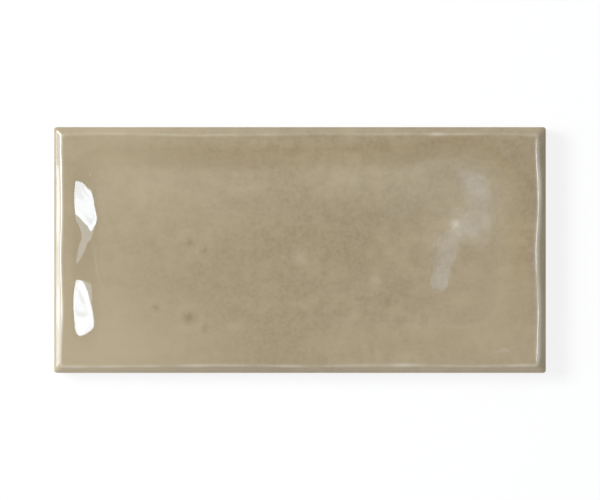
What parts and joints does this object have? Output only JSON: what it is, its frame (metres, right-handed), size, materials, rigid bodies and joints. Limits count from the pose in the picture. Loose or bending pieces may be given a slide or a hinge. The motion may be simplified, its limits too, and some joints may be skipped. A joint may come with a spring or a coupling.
{
  "type": "wall tile",
  "caption": "Rectangular glazed ceramic wall tile with mitred bevelled edges, a wavy raised rim round a shallow dished face and a keyed back for adhesive.",
  "frame": {"origin": "middle of the back, on the plane of its ribs", "axes": "+X along the tile's length, +Y across its width, +Z out of the glazed face"},
  "size_m": [0.15, 0.075, 0.0085],
  "materials": {
    "glaze": "glossy olive-beige glaze with slight mottling, thin and pale along the edges"
  },
  "bodies": {
    "root": {"wall_tile": "glaze"}
  },
  "joints": []
}
